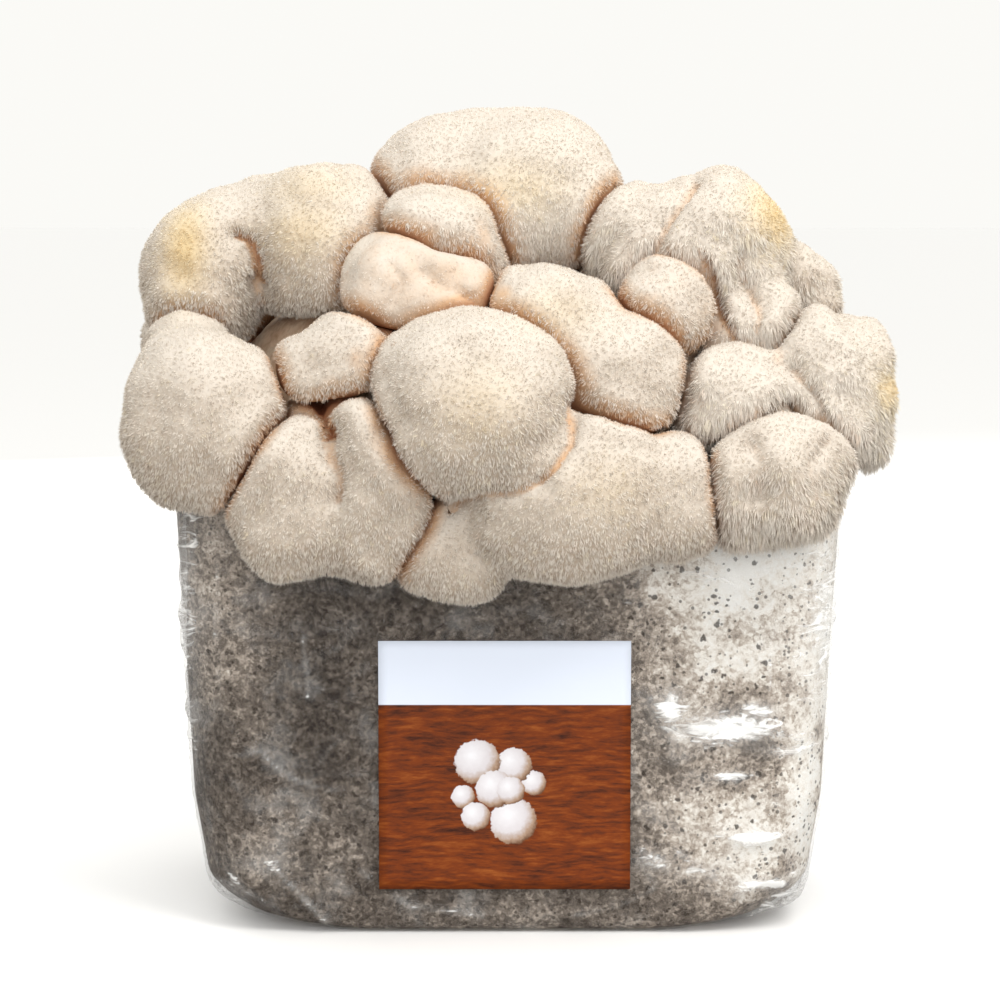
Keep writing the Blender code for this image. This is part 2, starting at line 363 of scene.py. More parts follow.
class Skin:
    """The fine surface of one head."""

    def __init__(self, node):
        self.node = node
        self.name = node.replace("_head", "").replace("_", "-")
        self.shaggy = node in SHAGGY
        self.tan_rimmed = node in TAN_RIMMED
        self.underside_shade_strength = UNDERSIDE_SHADE_STRENGTH.get(node, 1)
        voxel = HIDDEN_VOXEL if node.startswith(BEHIND) else VOXEL
        self.points, self.quads, self.edges = remeshed(node, voxel)
        self.round_off()

    def round_off(self):
        """Smooths the facets away, but keeps the seams, and swells back to the solid."""
        seams = seam_tree(frame["nodes"][self.node].data)
        self.seam = np.array([seams.find(point)[2] for point in self.points])
        smooth_rounds, growth_rounds = ROUNDS
        if self.node in WITHOUT_CREASES:
            self.seam += SEAM_HOLD
            smooth_rounds, growth_rounds = SMOOTHER_ROUNDS
        step = STEP_ON_SEAM + STEP_BESIDE * smoothstep(0, SEAM_HOLD, self.seam)[:, None]
        for _ in range(smooth_rounds):
            self.points += step * (neighbour_mean(self.points, self.edges) - self.points)
        tree = solid_tree(self.node)
        lost = np.empty((len(self.points), 1))
        for k, point in enumerate(self.points):
            nearest, normal, _, distance = tree.find_nearest(point)
            inside = (nearest - Vector(point)).dot(normal) > 0
            lost[k] = distance if inside else -distance
        for _ in range(growth_rounds):
            lost = neighbour_mean(lost, self.edges)
        self.points += lost * point_normals(self.points, self.quads)

    def near(self, others):
        """The other skins close to this one."""
        low = self.points.min(axis=0) - NEIGHBOUR_REACH
        high = self.points.max(axis=0) + NEIGHBOUR_REACH
        return [
            other
            for other in others
            if other is not self
            and all(other.points.max(axis=0) > low)
            and all(other.points.min(axis=0) < high)
        ]

    def gaps(self, trees):
        """Each point's distance to the nearest tree, up to a limit."""
        found = np.full(len(self.points), NEIGHBOUR_REACH)
        for k, point in enumerate(self.points):
            for tree in trees:
                distance = tree.find_nearest(point, found[k])[3]
                if distance is not None:
                    found[k] = distance
        return found

    def lumps(self, seed):
        """Unevenness, as a distance outwards."""
        rows = SHAGGY_LUMPS if self.shaggy else SHORN_LUMPS if self.node == SHORN else LUMPS
        heights = [
            height * noise_at(self.points, size * MM, seed + shift) for size, shift, height in rows
        ]
        return sum(heights) * MM

    def carve(self):
        """Cuts the seams, folds and knobs, and works out the tints, with painted shade in the
        creases.
        """
        groove = bell(self.seam / GROOVE_WIDTH)
        valley = bell(self.seam / VALLEY_WIDTH)
        move, fold_tan_and_shade = self.folds_and_knobs()
        move -= GROOVE_DEPTH * groove + VALLEY_DEPTH * valley
        self.bare = patches(self.points, BARE.get(self.node, ()))
        self.points = self.points + move[:, None] * self.normals
        self.normals = point_normals(self.points, self.quads)
        strength = SHAGGY_TINT if self.shaggy else 1
        reach = WIDE_RIM_REACH if self.tan_rimmed else RIM_REACH
        # Tan flesh with painted shade near a neighbour, fading as the gap widens.
        rim = strength * np.exp(-self.gap / reach)
        tints = (rim, GROOVE_TINT * strength * groove, fold_tan_and_shade, BARE_TINT * self.bare)
        self.crease = np.max(tints, axis=0)
        self.stain = patches(self.points, STAINS)

    def folds_and_knobs(self):
        """How far they move each point outwards, and how brown the folds are, with painted shade.
        """
        move = np.zeros(len(self.points))
        fold_tan_and_shade = np.zeros(len(self.points))
        for depth, half_width, tint, *path in FOLDS.get(self.node, ()):
            route = np.array(path) * MM * FLATTEN
            away = path_distance(self.points * FLATTEN, route) / (half_width * MM)
            cut = 0.75 * bell(away)
            broad_dip = 0.45 * bell(away / 3)
            move -= depth * MM * (cut + broad_dip)
            # The fold is painted tan and darker, as shade in it.
            fold_tan_and_shade = np.maximum(fold_tan_and_shade, FOLD_TINT * tint * bell(away))
            # A fold counts as a seam from here on, which keeps spines out of it.
            self.seam = np.minimum(self.seam, away * half_width * MM + FOLD_EDGE)
        for middle, half, height in KNOBS.get(self.node, ()):
            away = np.linalg.norm(self.points / MM - np.array(middle), axis=1) / half
            move += height * MM * bell(away)
        return move, fold_tan_and_shade


def facing_down(normals):
    """0 on top of a head to 1 on its underside."""
    return smoothstep(0.85, -0.55, normals[:, 2])


def grow_cluster():
    """Skins for all heads, with their folds and tints."""
    skins = [Skin(node) for node in HEADS]
    press_together(skins)
    trees = {skin: skin_tree([skin]) for skin in skins}
    everything = skin_tree(skins)
    solids = [solid_tree("cluster_base"), solid_tree("grow_bag")]
    for skin in skins:
        skin.gap = skin.gaps([trees[other] for other in skin.near(skins)] + solids)
        skin.normals = point_normals(skin.points, skin.quads)
        skin.seen = seen_from_outside(skin, everything)
        skin.carve()
    return skins


def press_together(skins):
    """Swells each skin towards its neighbours, with lumps, within its room."""
    trees = {skin: skin_tree([skin]) for skin in skins}
    bag_tree = solid_tree("grow_bag")
    moves = []
    for seed, skin in enumerate(skins):
        gap = skin.gaps([trees[other] for other in skin.near(skins)])
        room = np.minimum(gap, skin.gaps([bag_tree]) + ROOM_AT_BAG)
        close = 1 - smoothstep(*CLOSE_TO_APART, gap)
        growth = np.minimum(GROWTH_PER_GAP * gap, LARGEST_GROWTH) * close + skin.lumps(seed)
        growth = np.minimum(growth, LARGEST_SHARE * room)[:, None]
        for _ in range(GROWTH_ROUNDS):
            growth = neighbour_mean(growth, skin.edges)
        moves.append(growth * point_normals(skin.points, skin.quads))
    for skin, move in zip(skins, moves):
        skin.points = skin.points + move


def skin_tree(skins):
    points, quads, start = [], [], 0
    for skin in skins:
        points.append(skin.points)
        quads.append(skin.quads + start)
        start += len(skin.points)
    return BVHTree.FromPolygons(np.concatenate(points).tolist(), np.concatenate(quads).tolist())


def seen_from_outside(skin, everything):
    """1 where any of a few rays gets away from the cluster, and 0 elsewhere."""
    side = unit(np.cross(skin.normals, (0.31, 0.27, 0.91)))
    other = np.cross(skin.normals, side)
    starts = skin.points + ABOVE * skin.normals
    seen = np.zeros(len(skin.points))
    for tilt in (0, side, -side, other, -other):
        headings = skin.normals + tilt
        for k in np.flatnonzero(seen == 0):
            if everything.ray_cast(starts[k], headings[k], SIGHT)[0] is None:
                seen[k] = 1
    return seen


def make_skins(skins, mat):
    for skin in skins:
        tints = {"crease": skin.crease, "stain": skin.stain}
        # Painted shade, from none on top to full on the underside.
        tints["under"] = skin.underside_shade_strength * facing_down(skin.normals)
        place = (mat, "fruit_body", skin.node)
        new_piece(skin.name + "-skin", skin.points, skin.quads, *place, **tints)


# ---- spines


SPINES_PER_MM2 = 4.8
SPINE_HALF_WIDTH = 0.16 * MM
SPINE_SUNK = 0.25 * MM

# The gaps to a neighbour and to a seam at which spines begin and are full.
FRINGE = (0.1 * MM, 1.4 * MM)
TAN_FRINGE = (1.5 * MM, 3.3 * MM)
SEAM_FRINGE = (0.8 * MM, 2 * MM)
# The least share of spines.
SEAM_SHARE = 0.1
SHAGGY_SHARE = 0.5
# How much thinner they get on bare flesh and from front to back.
THINNER_WHERE_BARE = 0.85
BARENESS = (0.25, 0.7)
THINNER_BEHIND = 0.35
FRONT_TO_BACK = (-35 * MM, 5 * MM)

# Length in mm on top, what the underside adds, and shares of both.
SPINE_LENGTH = 0.5
LONGER_UNDER = 1.15
FRINGE_LENGTH = 0.65
SHORN_LENGTH = 0.45
SHAGGY_LONGER = 1.1
# A spine leans outwards, down and anyhow.
OUTWARDS = 0.8
DROOP = 0.15
DROOP_UNDER = 0.6
SHAGGY_DROOP = 0.5
STRAY = 0.3

TUFTS_PER_SPINE = 0.09
TUFT_PULL = 0.6
TUFT_TINT = 0.045
SPINE_TINT = 0.02
# Places up the spines' map. Lower places are darker: painted shade at the roots.
TIP_PLACE = 0.98
ROOT_PLACE = 0.75
UNDERSIDE_ROOT_SHADE = 0.70


class Places:
    """Random places on a skin, where any of its values can be read."""

    def __init__(self, skin, per_mm2):
        triangles = np.concatenate((skin.quads[:, (0, 1, 2)], skin.quads[:, (0, 2, 3)]))
        a, b, c = (skin.points[triangles[:, k]] for k in range(3))
        areas = np.linalg.norm(np.cross(b - a, c - a), axis=1) / 2
        amount = int(areas.sum() / MM**2 * per_mm2)
        self.corners = triangles[RNG.choice(len(triangles), amount, p=areas / areas.sum())]
        first, second = RNG.random((2, amount))
        root = np.sqrt(first)
        self.weights = np.stack((1 - root, root * (1 - second), root * second), axis=1)

    def read(self, values):
        weights = self.weights if values.ndim == 1 else self.weights[:, :, None]
        return (values[self.corners] * weights).sum(axis=1)


def spine_places(skin, fringe):
    """Where spines stand: fewer in creases, on bare flesh and behind, none out of sight."""
    places = Places(skin, SPINES_PER_MM2)
    keep = smoothstep(*fringe, places.read(skin.gap))
    keep *= SEAM_SHARE + (1 - SEAM_SHARE) * smoothstep(*SEAM_FRINGE, places.read(skin.seam))
    if skin.shaggy:
        keep = SHAGGY_SHARE + (1 - SHAGGY_SHARE) * keep
    keep *= 1 - THINNER_WHERE_BARE * smoothstep(*BARENESS, places.read(skin.bare))
    keep *= 1 - THINNER_BEHIND * smoothstep(*FRONT_TO_BACK, places.read(skin.points)[:, 1])
    keep *= places.read(skin.seen)
    kept = RNG.random(len(keep)) < keep
    places.corners = places.corners[kept]
    places.weights = places.weights[kept]
    return places


def spine_tips(skin, places, fringe, roots, normals):
    """Each spine's free end before the tufts form."""
    under = facing_down(normals)
    lengths = (SPINE_LENGTH + LONGER_UNDER * under) * (0.6 + 0.7 * RNG.random(len(roots))) * MM
    away = smoothstep(*fringe, places.read(skin.gap))
    lengths *= FRINGE_LENGTH + (1 - FRINGE_LENGTH) * away
    droop = DROOP + DROOP_UNDER * under
    if skin.node == SHORN:
        lengths *= SHORN_LENGTH
    if skin.shaggy:
        lengths *= 1 + SHAGGY_LONGER * under
        droop += SHAGGY_DROOP * under
    down = np.array((0, 0, -1.0))
    along = down - normals * (normals @ down)[:, None]
    stray = RNG.normal(0, STRAY, roots.shape)
    heading = unit(OUTWARDS * normals + droop[:, None] * along + stray)
    return roots + heading * lengths[:, None]


def make_spines(skin, mat):
    """A coat of spines in tufts, shorter on top and in the creases."""
    fringe = TAN_FRINGE if skin.tan_rimmed else FRINGE
    places = spine_places(skin, fringe)
    roots = places.read(skin.points)
    normals = unit(places.read(skin.normals))
    count = len(roots)
    tips = spine_tips(skin, places, fringe, roots, normals)

    leaders = np.flatnonzero(RNG.random(count) < TUFTS_PER_SPINE)
    tufts = point_tree(roots[leaders])
    leader = leaders[[tufts.find(root)[1] for root in roots]]
    pull = (TUFT_PULL * (0.3 + 0.7 * RNG.random(count)))[:, None]
    tips += pull * (tips[leader] - tips)
    tuft_tint = RNG.normal(0, TUFT_TINT, count)[leader]

    facing = unit(tips - roots)
    side = unit(np.cross(facing, normals) + RNG.normal(0, STRAY, roots.shape))
    half = SPINE_HALF_WIDTH * (0.8 + 0.5 * RNG.random(count))[:, None]
    foot = roots - SPINE_SUNK * normals
    points = np.stack((foot - half * side, foot + half * side, tips), axis=1)
    faces = np.arange(3 * count).reshape(-1, 3)
    piece = new_piece(skin.name + "-spines", points.reshape(-1, 3), faces, mat, "fruit_body")

    # Spines near a crease take its tan and painted shade.
    tint = 0.5 * (1 - places.read(skin.crease)) + 0.45 * places.read(skin.stain)
    tint = np.clip(tint + tuft_tint + RNG.normal(0, SPINE_TINT, count), 0.01, 0.99)
    # Painted shade at the roots, deeper towards an underside.
    root_shade_below = skin.underside_shade_strength * facing_down(normals)
    uv = np.empty((count, 3, 2))
    uv[:, :, 0] = tint[:, None]
    uv[:, :2, 1] = (ROOT_PLACE - UNDERSIDE_ROOT_SHADE * root_shade_below)[:, None]
    uv[:, 2, 1] = TIP_PLACE
    layer = piece.data.uv_layers.new(name="OFBake")
    layer.data.foreach_set("uv", uv.ravel())


# ---- materials


class Nodes:
    """Short names for building the nodes of a material, or of the world."""

    def __init__(self, name, kind="materials"):
        self.made = getattr(bpy.data, kind).new(name)
        self.made.use_nodes = True
        self.tree = self.made.node_tree

    def add(self, kind, *values, **settings):
        """A new node, with values for its first sockets and for those named."""
        node = self.tree.nodes.new(kind)
        for key, value in settings.items():
            if key in node.inputs:
                self.feed(node.inputs[key], value)
            else:
                setattr(node, key, value)
        for socket, value in zip(node.inputs, values):
            self.feed(socket, value)
        return node

    def link(self, source, target):
        self.tree.links.new(source, target)

    def feed(self, socket, value):
        if isinstance(value, bpy.types.NodeSocket):
            self.link(value, socket)
        elif isinstance(value, tuple) and len(value) == 3 and socket.type == "RGBA":
            socket.default_value = (*value, 1)
        else:
            socket.default_value = value

    def surface(self, colour, roughness, specular=0.5, normal=None):
        sockets = self.tree.nodes["Principled BSDF"].inputs
        self.feed(sockets["Base Color"], colour)
        self.feed(sockets["Roughness"], roughness)
        self.feed(sockets["Specular IOR Level"], specular)
        if normal is not None:
            self.link(normal, sockets["Normal"])
        return self.made

    def place(self):
        return self.add("ShaderNodeTexCoord").outputs["Object"]

    def attribute(self, name):
        return self.add("ShaderNodeAttribute", attribute_name=name).outputs["Fac"]

    def split(self, vector):
        return self.add("ShaderNodeSeparateXYZ", vector).outputs

    def math(self, operation, *values, clamp=False):
        return self.add("ShaderNodeMath", *values, operation=operation, use_clamp=clamp).outputs[0]

    plus = partialmethod(math, "ADD")
    minus = partialmethod(math, "SUBTRACT")
    times = partialmethod(math, "MULTIPLY")

    def vector(self, operation, *values):
        return self.add("ShaderNodeVectorMath", *values, operation=operation).outputs[0]

    def noise(self, vector, size, detail=3.0, rough=0.55, warp=0.0, output="Fac"):
        """Noise with lumps of about this size in metres, from 0 to 1."""
        sockets = {"Scale": 1 / size, "Detail": detail, "Roughness": rough, "Distortion": warp}
        return self.add("ShaderNodeTexNoise", vector, **sockets).outputs[output]

    def cells(self, vector, size, output="Distance"):
        """The distance to the middle of a cell, in cells."""
        return self.add("ShaderNodeTexVoronoi", vector, Scale=1 / size).outputs[output]

    def cell_number(self, vector, size, channel=0):
        """One of three random numbers that each cell has."""
        return self.split(self.cells(vector, size, "Color"))[channel]

    def ramp(self, value, *stops):
        """A colour ramp through (place, colour) stops."""
        node = self.add("ShaderNodeValToRGB", value)
        elements = node.color_ramp.elements
        while len(elements) < len(stops):
            elements.new(1)
        for element, (place, colour) in zip(elements, stops):
            element.position = place
            element.color = (*colour, 1)
        return node.outputs["Color"]

    def remap(self, value, low, high, to_low=0.0, to_high=1.0, kind="SMOOTHSTEP"):
        values = (value, low, high, to_low, to_high)
        return self.add("ShaderNodeMapRange", *values, interpolation_type=kind).outputs[0]

    def mix(self, share, one, other, blend="MIX"):
        node = self.add("ShaderNodeMix", data_type="RGBA", blend_type=blend)
        self.feed(node.inputs["Factor"], share)
        self.feed(node.inputs[6], one)
        self.feed(node.inputs[7], other)
        return node.outputs[2]

    def tinted(self, colour, tint):
        return self.mix(1.0, colour, tint, "MULTIPLY")

    def mix_shaders(self, share, one, other):
        return self.add("ShaderNodeMixShader", share, one, other).outputs[0]

    def bump(self, height, distance, strength):
        sockets = {"Height": height, "Distance": distance, "Strength": strength}
        return self.add("ShaderNodeBump", **sockets).outputs[0]


# Crease tones from tan flesh to DEEP, the darkest painted shade deep in a crease.
DEEP = (0.16, 0.045, 0.018)
RUST = (0.46, 0.20, 0.095)
BUFF = (0.64, 0.43, 0.27)
CREAM = (0.63, 0.57, 0.50)
YELLOW = (0.74, 0.56, 0.27)
SPINE_TONES = (
    (0.02, RUST),
    (0.20, BUFF),
    (0.38, (0.70, 0.62, 0.54)),
    (0.52, (0.72, 0.67, 0.60)),
    (0.68, (0.74, 0.65, 0.49)),
    (0.98, YELLOW),
)
FLESH_TONES = ((0.3, (0.58, 0.37, 0.23)), (0.55, (0.70, 0.52, 0.37)), (0.75, (0.76, 0.64, 0.50)))


def skin_material():
    """Cream flesh that turns tan and brown in the creases, with painted shade there, yellow where
    it's stained, and darker by painted shade underneath and in its dimples.
    """
    n = Nodes("fruit body skin")
    at = n.place()
    under = n.attribute("under")
    blotch = n.noise(at, 9 * MM, detail=4)
    fine = n.noise(at, 0.9 * MM, detail=2)
    edge = n.plus(n.attribute("crease"), n.times(n.minus(blotch, 0.5), 0.3))
    # Tan, rust and near black into the creases: the flesh's tan with painted shade.
    colour = n.ramp(edge, (0.12, CREAM), (0.42, BUFF), (0.85, RUST), (1.0, DEEP))
    colour = n.mix(n.attribute("stain"), colour, YELLOW)
    # Painted shade: the colour darkens towards the underside.
    colour = n.mix(n.times(under, 0.8), colour, n.tinted(colour, (0.72, 0.66, 0.60)))
    # Painted shade in the fine dimples, stronger towards the underside.
    dimple_shade = n.times(n.remap(fine, 0.38, 0.62, 0.0, 0.6), n.plus(under, 0.15))
    colour = n.mix(dimple_shade, colour, n.tinted(colour, (0.84, 0.78, 0.72)))
    return n.surface(colour, 0.75, 0.25, n.bump(fine, 0.35 * MM, 0.6))


def spine_material():
    """The map holds the tint across and root to tip upwards, with painted shade at the root."""
    n = Nodes("spines")
    uv = n.add("ShaderNodeUVMap", uv_map="OFBake").outputs[0]
    across, up, _ = n.split(uv)
    tint = n.ramp(across, *SPINE_TONES)
    # Painted shade: the roots darker than the tips.
    root = n.tinted(tint, (0.55, 0.47, 0.40))
    colour = n.mix(n.remap(up, 0.0, ROOT_PLACE), root, tint)
    return n.surface(colour, 0.8, 0.2)


def flesh_material():
    """The base's tan flesh, with upright fibres."""
    n = Nodes("base flesh")
    at = n.place()
    patch = n.noise(at, 12 * MM, detail=4)
    fibre = n.noise(n.vector("MULTIPLY", at, (1.0, 1.0, 0.25)), 1.2 * MM, detail=3)
    colour = n.ramp(patch, *FLESH_TONES)
    fibres = n.remap(fibre, 0.35, 0.7, 0.0, 0.5)
    colour = n.mix(fibres, colour, n.tinted(colour, (0.62, 0.5, 0.42)))
    return n.surface(colour, 0.7, normal=n.bump(fibre, 0.5 * MM, 0.7))


# ---- block and film


BAG_LOW, BAG_HIGH = np.array(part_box("grow_bag"))
LABEL_LOW, LABEL_HIGH = np.array(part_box("front_label"))
BLOCK_BOTTOM = 0.8 * MM
BLOCK_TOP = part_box("substrate_block")[1][2]
BLOCK_GAP = 0.6 * MM

# The wall's points: spacing in front, elsewhere and upwards, and the lowest rows in mm.
FRONT_STEP = 1.2 * MM
REST_STEP = 2.6 * MM
ROW_STEP = 1.2 * MM
LOW_ROWS = (0.25, 0.9, 1.8, 2.9)
# The front begins at this share of the half depth.
FRONT_FROM = 0.3
CORNER_RADIUS = 22 * MM
CORNER_STEPS = 24
# A smoothing step, and a slightly larger one back, so that the wall doesn't shrink.
IN_AND_OUT = (0.5, -0.52)
TURNS_ROUND = 14
TURNS_UP = 8
# The floors' rings as shares of the outline.
FLOOR_RINGS = (0.25, 0.6, 0.97)
BLOCK_FLOOR_RINGS = (0.3, 0.7, 0.95)
FLOOR_HEIGHT = 0.1 * MM
# The block's top: shares of the outline, and mm below the highest point.
BLOCK_CROWN = ((0.985, 0.5), (0.95, 0.2), (0.87, 0), (0.7, 0), (0.5, 0), (0.25, 0), (0.02, 0))

# How far from the middle, in mm, the front and back begin and are full, and the ends.
FRONT_AND_BACK = (40, 58)
ENDS = (75, 92)
# The film is flat behind the label, to between these distances from its middle in mm.
FLAT_TO = (42, 37)
DEEPEST = 0.2 * MM
# The lower front corners, where film is folded: a patch on the right, and heights.
FOLDED_CORNER = ((88, -56, 9), (9, 11, 7), 1.0)
LEFT_CORNER = 2.2 * MM
RIGHT_CORNER = 4.0 * MM
WELD_HALF_WIDTH = 1.3
WELD_HEIGHT = 4.2 * MM
# Haze along ridges of these heights, partly painted glints, and along the cut.
RIDGE_WHITE_AND_GLINT = 0.45
RIDGES = (0.35 * MM, 1.1 * MM)
CUT_HAZE = 0.5

# Creases are a half width, a height and points in mm. A point is x and z on the front and the
# back, and y and z on the sides. A negative height is a groove.
FRONT_CREASES = (
    (0.8, 0.8, (-79, 57.5), (-74, 56.3), (-68, 49.5), (-59, 46), (-50, 44)),
    (2.4, -1.6, (-71, 28), (-61, 18.7), (-50, 5.7)), (0.8, 1.2, (-74, 24), (-65, 14.5), (-55, 3.5)),
    (0.9, 0.7, (-87, 116), (-88, 95), (-87, 75)), (1.3, 1.6, (-94, 129), (-96, 100), (-97, 55)),
    (3.0, 1.3, (46, 69), (58, 65), (72, 66.5), (88, 61)),
    (0.9, 1.0, (49, 60.5), (60, 59), (74, 60.5), (80, 64)),
    (1.2, 0.9, (43, 73), (52, 73), (55, 67)), (2.0, 1.5, (64, 32), (75, 28.5), (87, 32)),
    (0.9, 0.9, (62, 48), (69, 47.5), (75, 50)), (1.1, 1.1, (52, 25), (58, 22), (64, 16.5)),
    (1.5, 1.4, (69, 12), (78, 17.5), (88, 15)), (0.8, 0.9, (72, 4), (80, 8), (92, 13)),
    (1.6, 1.0, (39, 26), (49, 20)), (2.2, 1.0, (54, 111), (62, 109), (69, 105)),
    (0.8, 0.8, (78, 112), (80, 95), (79, 76)), (0.9, 0.7, (-62, 92), (-61, 84), (-60, 74)),
    (1.1, 0.9, (-45, 20), (-30, 9), (-8, 6)), (1.0, 0.8, (20, 6), (34, 9), (44, 14)),
    (0.9, 0.7, (-88, 22), (-80, 14), (-70, 8)),
)
SIDE_CREASES = (
    (2.2, -2.2, (4, 147), (2, 110), (3, 60), (0, 34)),
    (1.0, 1.3, (8, 147), (7, 112), (8, 62), (0, 34)), (1.1, 1.5, (0, 34), (-22, 19), (-50, 4)),
    (1.1, 1.4, (0, 34), (24, 18), (50, 3)), (1.0, 0.9, (-48, 96), (-30, 90), (-12, 94)),
    (1.3, 1.0, (20, 78), (38, 84), (55, 80)), (0.9, 0.8, (-50, 60), (-34, 55), (-20, 57)),
    (0.9, 0.9, (22, 120), (36, 112), (52, 114)),
)
BACK_CREASES = (
    (1.2, 1.4, (0, 147), (2, 90), (-1, 40), (1, 0)),
    (1.8, -1.0, (4, 147), (6, 90), (3, 40), (5, 0)), (1.4, 1.1, (-86, 116), (-60, 108), (-30, 112)),
    (1.1, 1.0, (24, 88), (52, 96), (84, 92)), (1.6, 1.2, (-80, 44), (-52, 38), (-24, 42)),
    (1.0, 0.9, (30, 52), (56, 46), (88, 50)), (0.9, 0.9, (-70, 74), (-46, 70), (-20, 76)),
    (1.1, 1.1, (-84, 16), (-60, 9), (-30, 6)), (1.1, 1.1, (84, 18), (62, 9), (34, 6)),
)

# Cloudy patches of the film, which also paint glare as white.
HAZE_AND_GLARE = (
    ((66, -62, 64), (18, 14, 5.2), 1.0), ((49, -62, 70), (5, 14, 7), 0.75),
    ((76, -62, 69), (7, 14, 3), 0.9), ((88, -62, 57), (11, 14, 2.2), 0.8),
    ((50, -62, 71), (8, 14, 3), 0.5), ((67, -62, 49), (6, 14, 1.6), 0.8),
    ((75, -62, 30.5), (11, 14, 1.9), 1.0), ((44, -62, 23), (5, 14, 2.6), 0.75),
    ((58, -62, 20), (7, 14, 1.6), 0.55), ((79, -62, 15.5), (8, 14, 2.2), 0.95),
    ((86, -58, 10), (9, 20, 6), 0.5), ((94, -50, 95), (12, 24, 42), 0.62),
    ((70, -62, 112), (14, 14, 14), 0.35), ((-99, -50, 95), (8, 20, 44), 0.52),
    ((-90, -55, 125), (12, 24, 10), 0.3), ((-76, -60, 22), (12, 14, 3), 0.3),
    ((99, 10, 70), (10, 40, 50), 0.25), ((40, 62, 70), (30, 14, 10), 0.5),
    ((-55, 62, 40), (20, 14, 7), 0.5), ((-30, 62, 110), (30, 14, 12), 0.3),
)

# White growth on the sawdust block, which on the right of the front is also painted light, for the
# glare there.
MYCELIUM_AND_LIGHT = (
    ((100, -50, 92), (30, 60, 55), 1.2), ((72, -62, 112), (38, 30, 30), 1.25),
    ((66, -62, 90), (32, 30, 24), 1.0), ((60, -62, 66), (34, 30, 20), 0.62),
    ((72, -62, 30), (34, 30, 26), 0.95), ((92, -62, 40), (12, 30, 44), 1.25),
    ((10, -62, 2), (80, 30, 10), 0.30), ((-70, -62, 26), (30, 30, 16), 0.32),
    ((-88, -62, 104), (15, 40, 46), 0.55), ((0, 0, 142), (140, 90, 9), 0.85),
    ((60, 62, 60), (50, 30, 60), 0.75), ((-50, 62, 40), (30, 30, 40), 0.5),
    ((-100, 30, 90), (30, 30, 30), 0.7),
)


def ring_targets():
    """Steps round a rectangle with round corners, from which the bag's wall is found."""
    half = (BAG_HIGH - BAG_LOW)[:2] / 2
    marks = []
    for turn, side in enumerate(((1, -1), (1, 1), (-1, 1), (-1, -1))):
        centre = np.array(side) * (half - CORNER_RADIUS)
        for step in range(CORNER_STEPS + 1):
            angle = (turn - 1 + step / CORNER_STEPS) * math.pi / 2
            marks.append(centre + CORNER_RADIUS * np.array((math.cos(angle), math.sin(angle))))
    marks.append(marks[0])
    marks = np.array(marks)
    spans = np.linalg.norm(np.diff(marks, axis=0), axis=1)
    path = np.concatenate(((0,), spans.cumsum()))
    at, places = 0.0, []
    while at < path[-1] - REST_STEP / 2:
        here = np.array([np.interp(at, path, marks[:, k]) for k in range(2)])
        places.append(here)
        at += FRONT_STEP if here[1] < -FRONT_FROM * half[1] else REST_STEP
    return np.array(places)


def wall_rows(heights, targets, tree):
    """The bag's outer wall, smoothed, as a row of points to each height."""

    def wall_at(x, y, height):
        start = Vector((2 * x, 2 * y, height))
        return tree.ray_cast(start, Vector((-x, -y, 0)).normalized())[0]

    rows = np.array([[wall_at(x, y, height) for x, y in targets] for height in heights])
    for share in IN_AND_OUT * TURNS_ROUND:
        middle = (np.roll(rows, 1, 1) + np.roll(rows, -1, 1)) / 2
        rows[:, :, :2] += share * (middle - rows)[:, :, :2]
    for share in IN_AND_OUT * TURNS_UP:
        rows[1:-1] += share * ((rows[:-2] + rows[2:]) / 2 - rows[1:-1])
    return rows


def grid_quads(rows, columns, closed=True):
    """Quads of a grid of points, which may close on itself."""
    here = np.arange(columns if closed else columns - 1)
    after = (here + 1) % columns
    first_row = np.stack((here, after, columns + after, columns + here), axis=1)
    return np.concatenate([first_row + row * columns for row in range(rows - 1)])


def row_normals(rows):
    along = np.roll(rows, -1, 1) - np.roll(rows, 1, 1)
    up = np.gradient(rows, axis=0)
    return unit(np.cross(along, up))


def rings_inwards(ring, shares, height):
    """A ring of points shrunk to these shares, at one height."""
    rings = [ring * np.array((share, share, 0)) + np.array((0, 0, height)) for share in shares]
    return np.concatenate(rings)


def crease_heights(creases, across, z):
    """The creases' height on one side of the bag, in metres."""
    places = np.stack((across, z), axis=1)
    height = np.zeros(len(places))
    for half, rise, *path in creases:
        height += rise * bell(path_distance(places, np.array(path)) / half)
    return height * MM


def creased(points):
    """The height of the creases, folded corners and weld."""
    x, y, z = points.T / MM
    height = smoothstep(*FRONT_AND_BACK, -y) * crease_heights(FRONT_CREASES, x, z)
    height += smoothstep(*FRONT_AND_BACK, y) * crease_heights(BACK_CREASES, x, z)
    height += smoothstep(*ENDS, np.abs(x)) * crease_heights(SIDE_CREASES, y, z)
    mirrored = np.stack((np.abs(x), y, z), axis=1) * MM
    corner = np.where(x > 0, RIGHT_CORNER, LEFT_CORNER) * patches(mirrored, (FOLDED_CORNER,))
    return height + weld(x, y, z) + corner


def weld(x, y, z):
    """The film's welded edge, which stands out at the front left corner."""
    height = WELD_HEIGHT * bell((x - y + 40) / WELD_HALF_WIDTH)
    height *= smoothstep(-84, -88, x) * smoothstep(-38, -44, y)
    height *= smoothstep(46, 66, z) * smoothstep(140, 124, z)
    ragged = 0.75 + 0.25 * np.sin(z / 6.0) * np.sin(z / 2.3)
    return height * ragged


